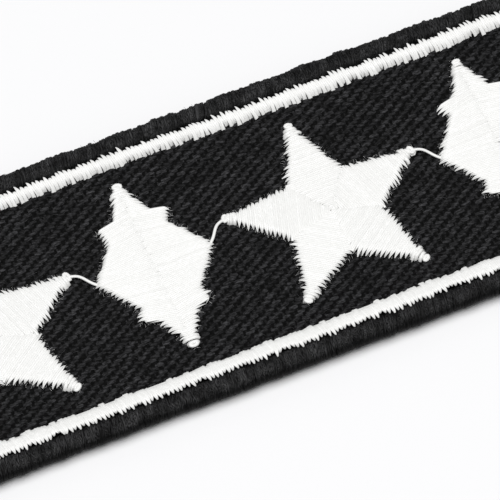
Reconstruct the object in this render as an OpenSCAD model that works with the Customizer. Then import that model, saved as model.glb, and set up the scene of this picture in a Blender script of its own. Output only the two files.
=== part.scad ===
/* [Patch] */
// Length of the patch along X, over the edge binding
patch_l = 100; // [100:1:130]
// Height of the patch along Y, over the edge binding
patch_w = 30; // [30:1:40]
// Radius of the patch's outer corners
corner_r = 4; // [3.8:0.1:6]
// Thickness of the twill ground with the stiff backing fused to it
ground_t = 0.6; // [0.4:0.05:0.7]

/* [Edge binding] */
// Width of the overlocked thread binding, seen from above
binding_w = 2.1; // [1.8:0.1:2.2]
// Thickness of the binding, which is a bead that hangs lower than the ground
binding_t = 1.7; // [1.5:0.05:1.7]
// How far the binding stands up from the ground
binding_over = 0.25; // [0.2:0.05:0.35]
// Radius of the binding's four edges
binding_r = 0.6; // [0.5:0.05:0.7]
// Thickness of the binding outside the ground's edge
binding_nose = 0.5; // [0.4:0.05:0.8]

/* [Satin stitching] */
// Width of the white satin line inside the binding
border_w = 1.4; // [1.2:0.1:1.5]
// How far the satin stitching stands up from the ground
satin_t = 0.45; // [0.35:0.05:0.6]
// Height of the satin line's upright sides, below its domed top
border_side_t = 0.15; // [0.1:0.05:0.2]

/* [Ornaments] */
// Distance from a star's centre to its points
star_r = 10.5; // [8:0.1:10.5]
// Distance from a star's centre to the corners between its points
star_valley_r = 5; // [3.6:0.1:5.4]
// Width of a lozenge across its side corners
lozenge_w = 12; // [8:0.5:12]
// Height of a lozenge from its top point to its bottom point
lozenge_h = 19.5; // [16:0.5:19.5]
// How far the thorn on each side of a lozenge stands out
thorn_out = 0.8; // [0.4:0.1:1]
// Distance between the centres of neighbouring ornaments
ornament_pitch = 17.4; // [17.4:0.1:17.6]

/* [Hook backing] */
// Thickness of the woven base of the hook tape
tape_t = 0.32; // [0.25:0.01:0.4]
// Height of the field of hooks below the tape
hook_h = 1; // [0.9:0.05:1.3]
// Distance from the tape's edge to the outermost hooks
hook_margin = 0.5; // [0.3:0.1:2]

/* [Hidden] */
$fn = 64;

// Clearance between pieces that lie against each other
gap = 0.02;
// Clearance between pieces that lie side by side
side_gap = 0.1;
cut = 1;

tape_z = hook_h + gap;
ground_z = tape_z + tape_t + gap;
satin_z = ground_z + ground_t + gap;
binding_z = ground_z + ground_t + binding_over - binding_t;
tape_inset = binding_w + side_gap;
border_inset = binding_w + side_gap / 2;
ground_inset = binding_nose + side_gap / 2;

// A star's points are 72 degrees apart, and its corners lie half way between them
STAR_POINTS = 5;
point_angle = 360 / STAR_POINTS;
// This puts the middle of a star's height on the patch's centre line
star_y = -star_r * (1 - cos(point_angle / 2)) / 2;

// Columns: share of the satin's thickness, size of the outline there
CROWN_SHARE = 0;
CROWN_SIZE = 1;
CROWN = [[0, 1], [0.35, 1], [0.75, 0.95], [1, 0.86]];

// One side of a lozenge, from its upper or lower point to its side corner.
// Columns: share of the way along the side, share of thorn_out away from it
SIDE_ALONG = 0;
SIDE_OUT = 1;
LOZENGE_SIDE = [[0, 0], [0.4, -0.5], [0.5, 1], [0.58, -0.5], [1, 0]];

BLACK_TWILL = "#202021";
BLACK_THREAD = "#262627";
WHITE_THREAD = "#f4f4f2";
BLACK_TAPE = "#1b1b1c";
HOOK_NYLON = "#222224";

// A rectangle with rounded corners, r at each, centred on the origin
module rounded_rectangle(l, w, r) {
    square([l - 2 * r, w], center = true);
    square([l, w - 2 * r], center = true);
    for (x = [-1, 1], y = [-1, 1])
        translate([x * (l / 2 - r), y * (w / 2 - r)]) circle(r);
}

// A flat sheet that follows the patch's outline at a distance inside it
module sheet(inset, t) {
    linear_extrude(t) rounded_rectangle(patch_l - 2 * inset, patch_w - 2 * inset, corner_r - inset);
}

// One straight side of a band, lying outwards of the origin in +Y
module band_side(l, reach) {
    translate([0, reach, 0]) rotate([90, 0, 90])
        linear_extrude(l, center = true) mirror([1, 0]) children();
}

// A band that follows the patch's outline at a distance inside it. Its
// section is the child, with x running inwards from the band's outer edge.
module band(inset) {
    l = patch_l - 2 * inset;
    w = patch_w - 2 * inset;
    r = corner_r - inset;
    for (turn = [0, 180]) {
        rotate(turn) band_side(l - 2 * r, w / 2) children();
        rotate(turn + 90) band_side(w - 2 * r, l / 2) children();
        for (y = [-1, 1])
            rotate(turn) translate([l / 2 - r, y * (w / 2 - r), 0]) rotate(y > 0 ? 0 : -90)
                rotate_extrude(angle = 90) translate([r, 0]) mirror([1, 0]) children();
    }
}

// The binding's section: a block with four round edges, and the slot that takes the ground
module binding_section() {
    r = binding_r;
    difference() {
        union() {
            translate([r, 0]) square([binding_w - 2 * r, binding_t]);
            translate([0, r]) square([binding_w, binding_t - 2 * r]);
            for (x = [r, binding_w - r], y = [r, binding_t - r]) translate([x, y]) circle(r);
        }
        translate([binding_nose, ground_z - gap - binding_z])
            square([binding_w - binding_nose + cut, ground_t + 2 * gap]);
    }
}

// The satin line's section: upright sides under a shallow arc
module border_section() {
    rise = satin_t - border_side_t;
    half = border_w / 2;
    arc_r = (half * half + rise * rise) / (2 * rise);
    square([border_w, border_side_t]);
    intersection() {
        translate([half, satin_t - arc_r]) circle(arc_r, $fn = 128);
        translate([0, border_side_t]) square([border_w, rise + cut]);
    }
}

// The satin's raised body over an outline: straight at the foot, drawn in at the top.
// Each row of CROWN is one ring of points, clockwise from above. The rings are skinned
// from foot to top, and the foot and the top are fans about the middle.
module satin_body(outline) {
    n = len(outline);
    last = (len(CROWN) - 1) * n;
    foot_middle = last + n;
    top_middle = foot_middle + 1;
    rings = [for (row = CROWN, p = outline)
        [p[0] * row[CROWN_SIZE], p[1] * row[CROWN_SIZE], row[CROWN_SHARE] * satin_t]];
    foot = [for (i = [0 : n - 1]) [foot_middle, (i + 1) % n, i]];
    top = [for (i = [0 : n - 1]) [top_middle, last + i, last + (i + 1) % n]];
    walls = [for (below = [0 : n : last - n], i = [0 : n - 1])
        let (next = (i + 1) % n)
        [below + i, below + next, below + n + next, below + n + i]];
    polyhedron(concat(rings, [[0, 0, 0], [0, 0, satin_t]]), concat(foot, top, walls));
}

function polar(r, angle) = [r * cos(angle), r * sin(angle)];

function star_outline() = [
    for (i = [0 : 2 * STAR_POINTS - 1])
        polar(i % 2 == 0 ? star_r : star_valley_r, 90 - i * point_angle / 2)
];

// A point on the lozenge's right upper side, from a row of LOZENGE_SIDE
function side_point(row) =
    let (top = [0, lozenge_h / 2],
         corner = [lozenge_w / 2, 0],
         run = corner - top,
         out = [-run[1], run[0]] / norm(run))
    top + row[SIDE_ALONG] * run + row[SIDE_OUT] * thorn_out * out;

function lozenge_outline() =
    let (side = [for (row = LOZENGE_SIDE) side_point(row)],
         last = len(side) - 1)
    concat(
        [for (i = [0 : last]) side[i]],
        [for (i = [last - 1 : -1 : 0]) [side[i][0], -side[i][1]]],
        [for (i = [1 : last]) [-side[i][0], -side[i][1]]],
        [for (i = [last - 1 : -1 : 1]) [-side[i][0], side[i][1]]]
    );

// A star that stands place pitches to the right of the patch's middle
module star(place) {
    color(WHITE_THREAD) translate([place * ornament_pitch, star_y, satin_z])
        satin_body(star_outline());
}

// A lozenge that stands place pitches to the right of the patch's middle
module lozenge(place) {
    color(WHITE_THREAD) translate([place * ornament_pitch, 0, satin_z])
        satin_body(lozenge_outline());
}

// The woven cloth with its backing, which carries all the stitching
module twill_ground() {
    color(BLACK_TWILL) translate([0, 0, ground_z]) sheet(ground_inset, ground_t);
}

// The overlocked thread that wraps the ground's edge all round
module edge_binding() {
    color(BLACK_THREAD) translate([0, 0, binding_z]) band(0) binding_section();
}

// The white satin line just inside the binding
module inner_border() {
    color(WHITE_THREAD) translate([0, 0, satin_z]) band(border_inset) border_section();
}

// The woven base of the hook backing, which lies under the ground
module hook_tape() {
    color(BLACK_TAPE) translate([0, 0, tape_z]) sheet(tape_inset, tape_t);
}

// The field of hooks, as one solid over the outside of all of them
module hook_field() {
    color(HOOK_NYLON) sheet(tape_inset + hook_margin, hook_h);
}

twill_ground();
edge_binding();
inner_border();
star(-2);  // star_left
star(0);  // star_middle
star(2);  // star_right
lozenge(-1);  // lozenge_left
lozenge(1);  // lozenge_right
hook_tape();
hook_field();
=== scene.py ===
# %% [markdown]
# # An embroidered patch with a hook backing, made stitch by stitch
# The solids of the patch come in as a fixed frame: a twill ground, a thread binding
# round its edge, a raised white line, five raised ornaments, and hook tape below.
# This lesson dresses each of them in what the real one is made of, which is thread.
# Nothing in the frame moves. Every new piece takes its place and size from it.

# %% Load the frame
import math

import bpy
import numpy as np
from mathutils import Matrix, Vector


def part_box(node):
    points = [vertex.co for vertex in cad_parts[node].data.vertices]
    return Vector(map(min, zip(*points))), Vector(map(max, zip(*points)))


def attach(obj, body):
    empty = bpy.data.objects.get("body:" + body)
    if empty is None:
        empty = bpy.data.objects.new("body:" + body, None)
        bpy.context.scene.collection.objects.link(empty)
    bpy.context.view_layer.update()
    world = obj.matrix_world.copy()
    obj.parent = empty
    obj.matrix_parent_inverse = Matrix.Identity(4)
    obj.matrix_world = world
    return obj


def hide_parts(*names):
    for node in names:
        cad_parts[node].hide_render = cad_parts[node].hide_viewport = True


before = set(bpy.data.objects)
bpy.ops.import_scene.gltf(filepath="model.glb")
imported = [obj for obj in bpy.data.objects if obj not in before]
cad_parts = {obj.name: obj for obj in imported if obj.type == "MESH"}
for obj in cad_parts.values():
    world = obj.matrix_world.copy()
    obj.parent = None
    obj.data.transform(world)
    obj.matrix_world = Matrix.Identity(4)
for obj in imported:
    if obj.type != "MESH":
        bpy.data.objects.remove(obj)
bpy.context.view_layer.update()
MM = 0.001
print("nodes:", ", ".join(sorted(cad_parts)))

# %% [markdown]
# ## Sizes
# Lengths in this script are millimetres until a mesh is made, because thread and
# cloth are easier to think of that way. The big sizes are read from the solids.
# The fine ones are what such stitching measures on the real patch.

# %% Read the solids' sizes
def box_mm(node):
    """A node's lowest and highest corners in millimetres."""
    low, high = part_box(node)
    return np.array(low) / MM, np.array(high) / MM


PATCH_LOW, PATCH_HIGH = box_mm("edge_binding")
PATCH_SIZE = PATCH_HIGH - PATCH_LOW
GROUND_LOW, GROUND_HIGH = box_mm("twill_ground")
BORDER_LOW, BORDER_HIGH = box_mm("inner_border")
TAPE_LOW, TAPE_HIGH = box_mm("hook_tape")
HOOKS_LOW, HOOKS_HIGH = box_mm("hook_field")
GROUND_TOP = GROUND_HIGH[2]
SATIN_TOP = BORDER_HIGH[2]
# No box tells these three: the corners' radius, and how wide the binding and the line are
CORNER_R = 4.0
BINDING_W = 2.1
BORDER_W = 1.4
print("patch", PATCH_SIZE.round(2), "ground top", GROUND_TOP.round(2), "satin top", SATIN_TOP.round(2))

# %% [markdown]
# ## The camera
# The photograph is a close view of the middle of the patch. Its long edges stay
# parallel, as from far away through a long lens. The view turns the patch's length up
# to the right. One pixel is about a tenth of a millimetre, and both ends lie outside.

# %% Place the camera
VIEW_AZIMUTH, VIEW_ELEVATION = -23.5, 58.7
VIEW_WIDTH = 46.25
LENS, SENSOR = 400.0, 36.0
# The point of the patch in the middle of the picture
AIM = Vector((-8.7, -2.07, 2.3)) * MM

azimuth, elevation = math.radians(VIEW_AZIMUTH), math.radians(VIEW_ELEVATION)
towards_camera = Vector((
    math.sin(azimuth) * math.cos(elevation),
    -math.cos(azimuth) * math.cos(elevation),
    math.sin(elevation),
))
camera_data = bpy.data.cameras.new("camera")
camera_data.lens = LENS
camera_data.sensor_width = SENSOR
camera_data.clip_start = 0.05
camera_data.clip_end = 10.0
camera = bpy.data.objects.new("camera", camera_data)
bpy.context.scene.collection.objects.link(camera)
distance = LENS * VIEW_WIDTH / SENSOR * MM
camera.location = AIM + towards_camera * distance
camera.rotation_mode = "QUATERNION"
camera.rotation_quaternion = (-towards_camera).to_track_quat("-Z", "Y")
bpy.context.scene.camera = camera
print(f"camera {distance:.3f} m away")

# %% [markdown]
# ## Helpers for nodes and colours
# Shader trees and geometry trees are built the same way, so one function adds a node
# to either: it sets the node's settings, then fills its sockets with values or links.
# A socket goes by its name or by its number, because several may share a name. On a
# Map Range, 1 and 2 are the range it comes from, and 3 and 4 the one it goes to. On a
# Mix, 0 is the share, 4 and 5 are two vectors, and 6 and 7 two colours.

# %% Add a node, turn a colour linear
def add_node(tree, kind, inputs=None, **settings):
    """Adds one node. An input is a value, a node (its first output) or an output socket."""
    node = tree.nodes.new(kind)
    for name, value in settings.items():
        setattr(node, name, value)
    for key, value in (inputs or {}).items():
        if isinstance(value, bpy.types.Node):
            value = value.outputs[0]
        if isinstance(value, bpy.types.NodeSocket):
            tree.links.new(value, node.inputs[key])
        else:
            node.inputs[key].default_value = value
    return node


def linear(hex_colour):
    """A linear colour from an sRGB hex value, by the standard's own curve."""
    parts = [int(hex_colour[i : i + 2], 16) / 255 for i in (1, 3, 5)]
    return [c / 12.92 if c <= 0.04045 else ((c + 0.055) / 1.055) ** 2.4 for c in parts] + [1.0]


def new_material(name):
    """An empty node material, with its tree."""
    material = bpy.data.materials.new(name)
    material.use_nodes = True
    material.node_tree.nodes.clear()
    return material, material.node_tree


print("white thread in linear light:", [round(c, 3) for c in linear("#f4f4f2")])

# %% [markdown]
# ## Thread
# Embroidery thread is two bright, smooth plies twisted together. From this close the
# twist shows as fine slanted ridges, and each strand catches the light a little
# differently from the next. Every thread made below carries its own numbers: its
# length and its way round as a UV map, and a random shade called "strand".

# %% Shade by patches and by strands
WEAR_PATCH = 1.25
# How much a strand's own shade counts
OWN_SHADE = 0.6
# Noise lies mostly near a half. A pattern goes from dark to light between two of its values.
CLOUD_RANGE = {1: 0.36, 2: 0.6}


def patches(tree, least):
    """A soft pattern of patches about a millimetre across, from least to 1."""
    where = add_node(tree, "ShaderNodeTexCoord")
    cloud = add_node(tree, "ShaderNodeTexNoise", {
        "Vector": where.outputs["Object"], "Scale": 1 / (WEAR_PATCH * MM), "Detail": 2.0})
    return add_node(tree, "ShaderNodeMapRange", {0: cloud, **CLOUD_RANGE, 3: least, 4: 1.0})


def shaded_by_strand(tree, pattern):
    """A pattern, made darker on each strand by a share of its own."""
    strand = add_node(tree, "ShaderNodeAttribute", attribute_name="strand")
    own = add_node(tree, "ShaderNodeMath", {0: strand.outputs["Fac"], 1: OWN_SHADE, 2: 1 - OWN_SHADE},
                   operation="MULTIPLY_ADD")
    return add_node(tree, "ShaderNodeMath", {0: pattern, 1: own}, operation="MULTIPLY")


print(f"patches of {WEAR_PATCH} mm, {OWN_SHADE:.0%} of a shade is the strand's own")

# %% Materials for thread
# Streaks to a millimetre along a strand, and to its radius both ways across
STREAKS = (1.5, 2.2, 2.2)
STREAK_RANGE = {1: 0.42, 2: 0.62}
DARKEST_STREAK = 0.05
# How far along its streaks the next strand may start
STRAND_SHIFT = 50.0
# The darker a thread's painted shade at its low end, the deeper its random patches, by this power
PATCHINESS_POWER = 0.4


def thread_material(name, dark, light, roughness, gloss, sheen, twist, relief, painted_shade_from, painted_shade_to):
    """Thread of fine filaments. They follow thread_uv, whose U is millimetres along the strand.

    twist is the length of one turn. The last two arguments are (height, share of the shade) at the ends of a
    painted shade: below the upper height the colour is darkened, down to the lower share at the lower
    height."""
    material, tree = new_material(name)
    strand = add_node(tree, "ShaderNodeAttribute", attribute_name="strand")
    uv = add_node(tree, "ShaderNodeSeparateXYZ", {0: add_node(tree, "ShaderNodeUVMap", uv_map="thread_uv")})
    turn = add_node(tree, "ShaderNodeMath", {0: uv.outputs["X"], 1: 1 / twist, 2: uv.outputs["Y"]},
                    operation="MULTIPLY_ADD")
    angle = add_node(tree, "ShaderNodeMath", {0: turn, 1: 2 * math.pi}, operation="MULTIPLY")
    along = add_node(tree, "ShaderNodeMath", {0: strand.outputs["Fac"], 1: STRAND_SHIFT, 2: uv.outputs["X"]},
                     operation="MULTIPLY_ADD")
    place = add_node(tree, "ShaderNodeCombineXYZ", {
        0: along,
        1: add_node(tree, "ShaderNodeMath", {0: angle}, operation="COSINE"),
        2: add_node(tree, "ShaderNodeMath", {0: angle}, operation="SINE"),
    })
    drawn_out = add_node(tree, "ShaderNodeMapping", {"Vector": place, "Scale": STREAKS})
    filaments = add_node(tree, "ShaderNodeTexNoise", {"Vector": drawn_out, "Scale": 1.0, "Detail": 3.0})
    streaks = add_node(tree, "ShaderNodeMapRange", {
        0: filaments, **STREAK_RANGE, 3: DARKEST_STREAK, 4: 1.0})
    shade = add_node(tree, "ShaderNodeMix", {
        0: shaded_by_strand(tree, streaks), 6: linear(dark), 7: linear(light)}, data_type="RGBA")
    where = add_node(tree, "ShaderNodeTexCoord")
    height = add_node(tree, "ShaderNodeSeparateXYZ", {0: where.outputs["Object"]})
    # Painted shade: below a height the colour is darkened, for the lower flank of a thread that lies in
    # shade
    painted_shade = add_node(tree, "ShaderNodeMapRange", {
        0: height.outputs["Z"], 1: painted_shade_from[0] * MM, 2: painted_shade_to[0] * MM, 3: painted_shade_from[1], 4: painted_shade_to[1]})
    patchy = add_node(tree, "ShaderNodeMath", {0: painted_shade, 1: patches(tree, painted_shade_from[1] ** PATCHINESS_POWER)},
                      operation="MULTIPLY")
    colour_with_painted_shade = add_node(tree, "ShaderNodeVectorMath", {0: shade.outputs[2], "Scale": patchy}, operation="SCALE")
    bump = add_node(tree, "ShaderNodeBump", {"Strength": 1.0, "Distance": relief * MM, "Height": filaments})
    finish = add_node(tree, "ShaderNodeBsdfPrincipled", {
        "Base Color": colour_with_painted_shade,
        "Roughness": roughness,
        "IOR": 1.5,
        "Specular IOR Level": gloss,
        "Sheen Weight": sheen,
        "Sheen Roughness": 0.4,
        "Normal": bump,
    })
    add_node(tree, "ShaderNodeOutputMaterial", {"Surface": finish})
    return material


# Trilobal rayon is bright and silky, so its light is clean and its shadows stay pale.
white_rayon = thread_material(
    "white_rayon_thread", "#e7e7e5", "#f7f7f6", roughness=0.42, gloss=0.5, sheen=0.1, twist=4.0,
    relief=0.01, painted_shade_from=(0.0, 1.0), painted_shade_to=(1.0, 1.0))
# Textured polyester is bulky and soft, so it is a dull black with small streaks of light.
# Its colour is darkened with painted shade below 2.2 mm, to a tenth at 1.7 mm, for the shaded lower flank of
# the binding.
black_overlock = thread_material(
    "black_overlock_thread", "#030303", "#505051", roughness=0.5, gloss=0.06, sheen=0.0, twist=6.0,
    relief=0.08, painted_shade_from=(1.7, 0.1), painted_shade_to=(2.2, 1.0))
print("threads:", white_rayon.name, "and", black_overlock.name)

# %% [markdown]
# ## Cloth and nylon
# The twill is spun cotton: matt, hairy yarns with a broken shade. The tape is woven
# from fine nylon and looks like ribbed matt cloth. The hooks are single filaments of
# nylon, harder and shinier than anything else here.

# %% Materials for cloth and nylon
# The shade of spun yarn changes this much more slowly along it than across
FIBRE_STRETCH = (0.35, 1.0, 1.0)
FIBRE_RANGE = {1: 0.42, 2: 0.7}
DARKEST_FIBRE = 0.15
COTTON_WEAR = 0.72


def spun_yarn_material(name, dark, light, grain):
    """Spun yarn: the shade wanders along each float, and each float has its own."""
    material, tree = new_material(name)
    place = add_node(tree, "ShaderNodeTexCoord")
    drawn_out = add_node(tree, "ShaderNodeMapping", {
        "Vector": place.outputs["Object"], "Scale": FIBRE_STRETCH})
    fibres = add_node(tree, "ShaderNodeTexNoise", {
        "Vector": drawn_out, "Scale": 1 / (grain * MM), "Detail": 3.0})
    spread = add_node(tree, "ShaderNodeMapRange", {0: fibres, **FIBRE_RANGE, 3: DARKEST_FIBRE, 4: 1.0})
    patchy = add_node(tree, "ShaderNodeMath", {
        0: shaded_by_strand(tree, spread), 1: patches(tree, COTTON_WEAR)}, operation="MULTIPLY")
    shade = add_node(tree, "ShaderNodeMix", {0: patchy, 6: linear(dark), 7: linear(light)}, data_type="RGBA")
    bump = add_node(tree, "ShaderNodeBump", {"Strength": 0.8, "Distance": 0.04 * MM, "Height": fibres})
    finish = add_node(tree, "ShaderNodeBsdfPrincipled", {
        "Base Color": shade.outputs[2], "Roughness": 0.6, "IOR": 1.5, "Specular IOR Level": 0.06,
        "Normal": bump})
    add_node(tree, "ShaderNodeOutputMaterial", {"Surface": finish})
    return material


def ribbed_cloth_material(name, dark, light, rib):
    """Plain weave seen from a distance: two crossing sets of ribs."""
    material, tree = new_material(name)
    place = add_node(tree, "ShaderNodeTexCoord")
    split = add_node(tree, "ShaderNodeSeparateXYZ", {0: place.outputs["Object"]})
    waves = []
    for axis in ("X", "Y"):
        turns = add_node(tree, "ShaderNodeMath", {0: split.outputs[axis], 1: math.pi / (rib * MM)},
                         operation="MULTIPLY")
        waves.append(add_node(tree, "ShaderNodeMath", {0: turns}, operation="SINE"))
    weave = add_node(tree, "ShaderNodeMath", {0: waves[0], 1: waves[1]}, operation="MULTIPLY")
    height = add_node(tree, "ShaderNodeMapRange", {0: weave, 1: -1.0, 2: 1.0, 3: 0.0, 4: 1.0})
    # Painted shade: the colour darkens into the valleys between the ribs.
    shade = add_node(tree, "ShaderNodeMix", {0: height, 6: linear(dark), 7: linear(light)}, data_type="RGBA")
    bump = add_node(tree, "ShaderNodeBump", {"Strength": 1.0, "Distance": 0.05 * MM, "Height": height})
    finish = add_node(tree, "ShaderNodeBsdfPrincipled", {
        "Base Color": shade.outputs[2], "Roughness": 0.75, "IOR": 1.5, "Specular IOR Level": 0.05,
        "Normal": bump})
    add_node(tree, "ShaderNodeOutputMaterial", {"Surface": finish})
    return material


def nylon_material(name, colour, grain):
    """Drawn nylon filament, smooth with a slight draw grain."""
    material, tree = new_material(name)
    place = add_node(tree, "ShaderNodeTexCoord")
    draw = add_node(tree, "ShaderNodeTexNoise", {
        "Vector": place.outputs["Object"], "Scale": 1 / (grain * MM)})
    rough = add_node(tree, "ShaderNodeMapRange", {0: draw, 1: 0.0, 2: 1.0, 3: 0.25, 4: 0.45})
    finish = add_node(tree, "ShaderNodeBsdfPrincipled", {
        "Base Color": linear(colour), "Roughness": rough, "IOR": 1.53})
    add_node(tree, "ShaderNodeOutputMaterial", {"Surface": finish})
    return material


# Cotton is matt and hairy, so its black is broken by paler specks.
cotton_twill = spun_yarn_material("black_cotton_twill", "#080808", "#4a4a4c", 0.13)
# Where a yarn lies lower, between the floats, less light comes back from it.
shaded_twill = spun_yarn_material("black_cotton_twill_in_shade", "#060606", "#323233", 0.13)
# A loose fibre stands in the light, so it is paler than the cloth.
cotton_fibre = spun_yarn_material("loose_black_fibre", "#2c2c2d", "#7a7a7c", 0.2)
# Under the yarns the cloth shows only as dark gaps. It is black, and painted darker than the yarns with the
# shade that lies between them.
ground_cloth_in_shade = ribbed_cloth_material("black_twill_under_yarns_in_shade", "#050505", "#0f0f0f", 0.3)
# Woven nylon is matt and even, with fine ribs both ways.
nylon_tape = ribbed_cloth_material("black_nylon_tape", "#0e0e0f", "#1e1e1f", 0.35)
# Drawn nylon is smooth, so each hook has a narrow highlight.
hook_nylon = nylon_material("black_hook_nylon", "#1b1b1c", 0.5)
print("materials:", ", ".join(m.name for m in bpy.data.materials if m.node_tree))

# %% [markdown]
# ## From a path to a mesh
# A thread's path is a chain of points that Python lays by a rule. Each point may carry
# numbers, called attributes, which Geometry Nodes read later by their names.
# A path object is only a seed. Once its tree has grown, the result is taken out as a
# plain mesh at the origin, and the seed goes.

# %% Seeds and what grows from them
# The attributes and inputs that are lengths, and so are turned into metres
LENGTHS = {"left", "right", "left_pull", "right_pull", "reach",
           "Width", "Thickness", "Rise", "Dip", "Knot", "Shoulder"}


def in_metres(name, value):
    """A value in Blender's unit, if its name is that of a length."""
    return value * MM if name in LENGTHS else value


def seed_object(name, chains, closed=False, **attributes):
    """A mesh of chains of points in millimetres, with one value of each attribute per point."""
    edges = []
    first = 0
    for chain in chains:
        last = first + len(chain) - 1
        edges += [(i, i + 1) for i in range(first, last)]
        if closed:
            edges.append((last, first))
        first = last + 1
    mesh = bpy.data.meshes.new(name)
    mesh.from_pydata((np.concatenate(chains) * MM).tolist(), edges, [])
    for key, values in attributes.items():
        values = in_metres(key, np.asarray(values, float))
        wide = values.ndim == 2
        layer = mesh.attributes.new(key, "FLOAT_VECTOR" if wide else "FLOAT", "POINT")
        layer.data.foreach_set("vector" if wide else "value", values.ravel())
    seed = bpy.data.objects.new(name + "_seed", mesh)
    bpy.context.scene.collection.objects.link(seed)
    return seed


def grow(name, seed, tree, **inputs):
    """Runs a tree on a seed and returns the result as a plain mesh object called name."""
    modifier = seed.modifiers.new(tree.name, "NODES")
    modifier.node_group = tree
    for item in tree.interface.items_tree:
        if item.item_type == "SOCKET" and item.in_out == "INPUT" and item.name in inputs:
            modifier[item.identifier] = in_metres(item.name, inputs[item.name])
    depsgraph = bpy.context.evaluated_depsgraph_get()
    mesh = bpy.data.meshes.new_from_object(seed.evaluated_get(depsgraph), depsgraph=depsgraph,
                                           preserve_all_data_layers=True)
    mesh.name = name
    bpy.data.objects.remove(seed)
    piece = bpy.data.objects.new(name, mesh)
    bpy.context.scene.collection.objects.link(piece)
    mesh.calc_loop_triangles()
    print(f"{name}: {len(mesh.loop_triangles)} triangles, materials {[m.name for m in mesh.materials]}")
    return piece


def new_tree(name, **sockets):
    """An empty geometry tree with a geometry input and output, and one input for each name."""
    tree = bpy.data.node_groups.new(name, "GeometryNodeTree")
    tree.interface.new_socket("Geometry", in_out="INPUT", socket_type="NodeSocketGeometry")
    for socket, (kind, default) in sockets.items():
        made = tree.interface.new_socket(socket, in_out="INPUT", socket_type="NodeSocket" + kind)
        if default is not None:
            made.default_value = default
    tree.interface.new_socket("Geometry", in_out="OUTPUT", socket_type="NodeSocketGeometry")
    return tree, tree.nodes.new("NodeGroupInput").outputs


print("lengths:", ", ".join(sorted(LENGTHS)))

# %% [markdown]
# ## The body of a thread
# A thread is swept: a small flattened circle runs along the path. The circle stays
# level, because thread lies flat on cloth, and that flat side is what makes satin
# shine. On a coil nothing stays level, so its seed says in "side" where the flat
# circle's long way goes.
# The last steps store the UV map that the twist needs and smooth the shading.

# %% Sweep a thread along its path
THREAD_INPUTS = {
    "Width": ("Float", 0.3 * MM), "Thickness": ("Float", 0.2 * MM), "Sides": ("Int", 6),
    "Material": ("Material", None)}


def sweep_thread(tree, group, curve, bulk=1.0):
    """Adds the nodes that turn a curve into finished thread, and links them to the output."""
    flat = add_node(tree, "GeometryNodeSetCurveNormal", {"Curve": curve}, mode="Z_UP")
    side = add_node(tree, "GeometryNodeInputNamedAttribute", {"Name": "side"}, data_type="FLOAT_VECTOR")
    unit_side = add_node(tree, "ShaderNodeVectorMath", {0: side}, operation="NORMALIZE")
    level = add_node(tree, "GeometryNodeSetCurveNormal", {
        "Curve": flat, "Selection": side.outputs["Exists"], "Normal": unit_side}, mode="FREE")
    along = add_node(tree, "GeometryNodeSplineParameter")
    millimetres = add_node(tree, "ShaderNodeMath", {0: along.outputs["Length"], 1: 1 / MM},
                           operation="MULTIPLY")
    measured = add_node(tree, "GeometryNodeStoreNamedAttribute", {
        "Geometry": level, "Name": "along", "Value": millimetres}, domain="POINT")
    circle = add_node(tree, "GeometryNodeCurvePrimitiveCircle", {
        "Resolution": group["Sides"], "Radius": 0.5})
    size = add_node(tree, "ShaderNodeCombineXYZ", {0: group["Width"], 1: group["Thickness"], 2: 1.0})
    section = add_node(tree, "GeometryNodeTransform", {"Geometry": circle, "Scale": size})
    way_round = add_node(tree, "GeometryNodeSplineParameter")
    numbered = add_node(tree, "GeometryNodeStoreNamedAttribute", {
        "Geometry": section, "Name": "around", "Value": way_round.outputs["Factor"]}, domain="POINT")
    swept = add_node(tree, "GeometryNodeCurveToMesh", {
        "Curve": measured, "Profile Curve": numbered, "Scale": bulk, "Fill Caps": True})
    u = add_node(tree, "GeometryNodeInputNamedAttribute", {"Name": "along"}, data_type="FLOAT")
    v = add_node(tree, "GeometryNodeInputNamedAttribute", {"Name": "around"}, data_type="FLOAT")
    uv = add_node(tree, "ShaderNodeCombineXYZ", {0: u, 1: v})
    mapped = add_node(tree, "GeometryNodeStoreNamedAttribute", {
        "Geometry": swept, "Name": "thread_uv", "Value": uv}, data_type="FLOAT2", domain="CORNER")
    smooth = add_node(tree, "GeometryNodeSetShadeSmooth", {"Geometry": mapped})
    real = add_node(tree, "GeometryNodeRealizeInstances", {"Geometry": smooth})
    dyed = add_node(tree, "GeometryNodeSetMaterial", {"Geometry": real, "Material": group["Material"]})
    add_node(tree, "NodeGroupOutput", {0: dyed})


plain_thread, thread_in = new_tree("thread_along_a_path", **THREAD_INPUTS)
sweep_thread(plain_thread, thread_in,
             add_node(plain_thread, "GeometryNodeMeshToCurve", {0: thread_in["Geometry"]}))
print(plain_thread.name, "has", len(plain_thread.nodes), "nodes")

# %% [markdown]
# ## Walking round the patch
# The binding and the white line both follow the patch's outline, a rectangle with
# rounded corners. One function walks round such an outline in even steps and says
# where it stands and which way is outwards.

# %% Stations on a rounded rectangle
def walk_round(length, width, radius, spacing):
    """Points and outward directions at an even number of even steps, anticlockwise."""
    straights = [width - 2 * radius, length - 2 * radius] * 2
    quarter = math.pi * radius / 2
    total = sum(straights) + 4 * quarter
    count = 2 * round(total / spacing / 2)
    middles = [np.array((x * (length / 2 - radius), y * (width / 2 - radius)))
               for x, y in ((1, 1), (-1, 1), (-1, -1), (1, -1))]
    points, outs = [], []
    for done in np.arange(count) * total / count:
        for side, straight in enumerate(straights):
            if done < straight + quarter:
                break
            done -= straight + quarter
        turn = math.radians(90 * side) + max(0.0, done - straight) / radius
        out = np.array((math.cos(turn), math.sin(turn)))
        heading = np.array((-math.sin(math.radians(90 * side)), math.cos(math.radians(90 * side))))
        short = max(0.0, straight - done)
        points.append(middles[side] + radius * out - short * heading)
        outs.append(out)
    return np.array(points), np.array(outs)


def at_height(points, z):
    """Flat points lifted to a height."""
    return np.column_stack([points, np.full(len(points), z)])


# Python's random numbers come from this one row, but for the slow drifts
rng = np.random.default_rng(11)
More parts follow.
